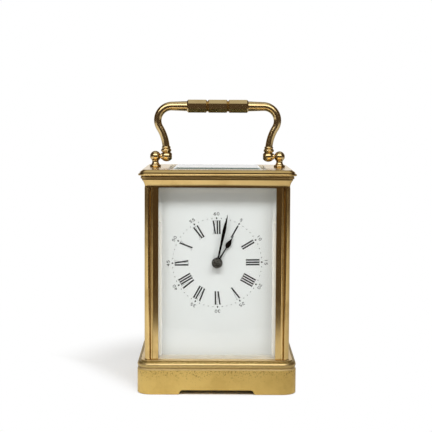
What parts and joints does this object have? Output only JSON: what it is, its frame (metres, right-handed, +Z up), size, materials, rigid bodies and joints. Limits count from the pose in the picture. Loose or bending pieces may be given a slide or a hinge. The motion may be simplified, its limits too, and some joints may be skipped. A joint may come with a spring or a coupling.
{
  "type": "carriage clock",
  "caption": "Brass carriage clock with bevelled glasses, enamel dial, folding handle, opening rear door and a geared movement with a platform escapement.",
  "frame": {"origin": "middle of the base's footprint, on the plane it stands on", "axes": "+X to the right seen from the front, the dial faces -Y, +Z up through the handle's grip"},
  "size_m": [0.08, 0.07, 0.1475],
  "materials": {
    "case_brass": "polished, slightly aged",
    "movement_brass": "satin gilt",
    "bevelled_glass": "clear, bevelled edges",
    "white_enamel": "glossy white",
    "blued_steel": "blued, nearly black",
    "polished_steel": "polished"
  },
  "bodies": {
    "case": {"base": "case_brass", "cornice": "case_brass", "pillar_front_left": "case_brass", "pillar_front_right": "case_brass", "pillar_rear_left": "case_brass", "pillar_rear_right": "case_brass", "pillar_screws": "polished_steel", "top_glass": "bevelled_glass", "front_glass": "bevelled_glass", "left_glass": "bevelled_glass", "right_glass": "bevelled_glass", "handle_post_left": "case_brass", "handle_post_right": "case_brass", "handle_pivots": "polished_steel", "front_plate": "movement_brass", "back_plate": "movement_brass", "frame_pillars": "movement_brass", "plate_screws": "blued_steel", "seat_screws": "polished_steel", "dial": "white_enamel", "dial_feet": "movement_brass", "minute_post": "polished_steel", "click_screw": "blued_steel", "click_spring": "polished_steel", "platform": "movement_brass", "platform_screws": "blued_steel", "escape_cock": "movement_brass", "balance_spring": "blued_steel", "balance_cock": "movement_brass"},
    "rear_door": {"door_frame": "case_brass", "door_glass": "bevelled_glass", "door_pins": "case_brass", "door_knob": "case_brass"},
    "handle": {"handle_arm_left": "case_brass", "handle_arm_right": "case_brass", "handle_grip": "case_brass"},
    "centre_work": {"centre_wheel": "movement_brass", "centre_arbor": "polished_steel", "cannon_pinion": "polished_steel", "minute_hand": "blued_steel", "hand_collet": "polished_steel"},
    "hour_work": {"hour_wheel": "movement_brass", "hour_hand": "blued_steel"},
    "minute_work": {"minute_wheel": "movement_brass"},
    "intermediate_work": {"intermediate_wheel": "movement_brass", "intermediate_arbor": "polished_steel"},
    "going_barrel": {"barrel": "movement_brass", "barrel_cap": "movement_brass", "mainspring": "polished_steel"},
    "winding_work": {"barrel_arbor": "polished_steel", "ratchet_wheel": "polished_steel"},
    "click_pawl": {"click": "polished_steel"},
    "third_work": {"third_wheel": "movement_brass", "third_arbor": "polished_steel"},
    "contrate_work": {"contrate_wheel": "movement_brass", "contrate_arbor": "polished_steel"},
    "escape_work": {"escape_wheel": "polished_steel"},
    "lever_work": {"pallet_lever": "polished_steel"},
    "balance_work": {"balance_wheel": "movement_brass"}
  },
  "joints": [
    {"name": "handle_swing", "type": "hinge", "parent": "case", "child": "handle", "pos_m": [0, 0, 0.11814], "axis": [1, 0, 0], "range_deg": [-94, 94]},
    {"name": "rear_door_swing", "type": "hinge", "parent": "case", "child": "rear_door", "pos_m": [0.02735, 0.0293, 0.017], "axis": [0, 0, -1], "range_deg": [0, 95]},
    {"name": "minute_hand_turn", "type": "hinge", "parent": "case", "child": "centre_work", "pos_m": [0, 0, 0.06534], "axis": [0, 1, 0], "continuous": true},
    {"name": "hour_hand_turn", "type": "hinge", "parent": "case", "child": "hour_work", "pos_m": [0, 0, 0.06534], "axis": [0, 1, 0], "continuous": true},
    {"name": "minute_wheel_turn", "type": "hinge", "parent": "case", "child": "minute_work", "pos_m": [-0.00577, 0, 0.05957], "axis": [0, 1, 0], "continuous": true},
    {"name": "intermediate_turn", "type": "hinge", "parent": "case", "child": "intermediate_work", "pos_m": [0.01082, 0, 0.05477], "axis": [0, 1, 0], "continuous": true},
    {"name": "barrel_turn", "type": "hinge", "parent": "case", "child": "going_barrel", "pos_m": [0, 0, 0.03776], "axis": [0, 1, 0], "continuous": true},
    {"name": "third_turn", "type": "hinge", "parent": "case", "child": "third_work", "pos_m": [-0.00421, 0, 0.0776], "axis": [0, 1, 0], "continuous": true},
    {"name": "contrate_turn", "type": "hinge", "parent": "case", "child": "contrate_work", "pos_m": [0.007, 0, 0.08044], "axis": [0, 1, 0], "continuous": true},
    {"name": "escape_turn", "type": "hinge", "parent": "case", "child": "escape_work", "pos_m": [0.007, 0.0003, 0.09564], "axis": [0, 0, 1], "continuous": true},
    {"name": "winding_turn", "type": "hinge", "parent": "case", "child": "winding_work", "pos_m": [0, 0, 0.03776], "axis": [0, 1, 0], "continuous": true},
    {"name": "click_lift", "type": "hinge", "parent": "case", "child": "click_pawl", "pos_m": [0.0048, 0.0163, 0.04596], "axis": [0, -1, 0], "range_deg": [-4, 8], "stiffness_Nm_per_rad": 0.0002, "springref_deg": 8, "deforming": ["click_spring"]},
    {"name": "lever_rock", "type": "hinge", "parent": "case", "child": "lever_work", "pos_m": [0.00284, 0.0003, 0.09564], "axis": [0, 0, 1], "range_deg": [-6, 6]},
    {"name": "balance_swing", "type": "hinge", "parent": "case", "child": "balance_work", "pos_m": [-0.00381, 0.0003, 0.09564], "axis": [0, 0, 1], "range_deg": [-220, 220], "stiffness_Nm_per_rad": 0.000002, "deforming": ["balance_spring"]}
  ],
  "couplings": [
    {"joint": "intermediate_turn", "follows": "minute_hand_turn", "ratio": -0.16667},
    {"joint": "barrel_turn", "follows": "minute_hand_turn", "ratio": 0.027778},
    {"joint": "third_turn", "follows": "minute_hand_turn", "ratio": -8},
    {"joint": "contrate_turn", "follows": "minute_hand_turn", "ratio": 60},
    {"joint": "escape_turn", "follows": "minute_hand_turn", "ratio": -480},
    {"joint": "minute_wheel_turn", "follows": "minute_hand_turn", "ratio": -0.33333},
    {"joint": "hour_hand_turn", "follows": "minute_hand_turn", "ratio": 0.083333}
  ]
}
